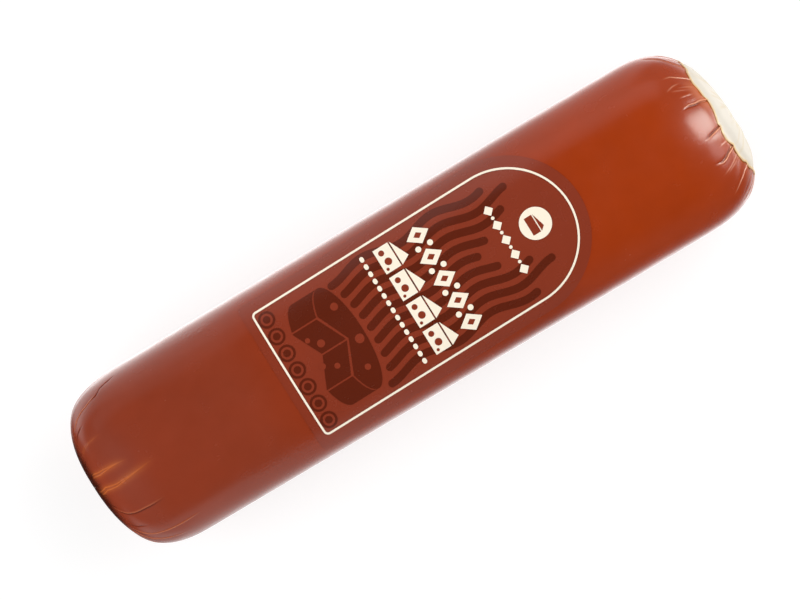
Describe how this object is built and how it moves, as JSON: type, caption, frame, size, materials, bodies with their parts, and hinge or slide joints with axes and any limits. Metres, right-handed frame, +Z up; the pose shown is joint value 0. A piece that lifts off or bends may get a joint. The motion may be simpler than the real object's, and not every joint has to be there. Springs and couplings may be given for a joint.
{
  "type": "smoked gouda log",
  "caption": "Round log of smoked cheese in a glossy brown casing, gathered at both ends, with a pale domed end and an arch-topped label.",
  "frame": {"origin": "on the surface the log rests on, below the middle of its bounding box", "axes": "+X along the log towards its open, pale end; +Z up through the label"},
  "size_m": [0.3704, 0.0954, 0.0939],
  "materials": {
    "casing": "smoked brown skin, glossy",
    "cheese": "pale cheese, waxy satin",
    "label": "printed paper, satin"
  },
  "bodies": {
    "root": {"casing": "casing", "cheese": "cheese", "label": "label"}
  },
  "joints": []
}
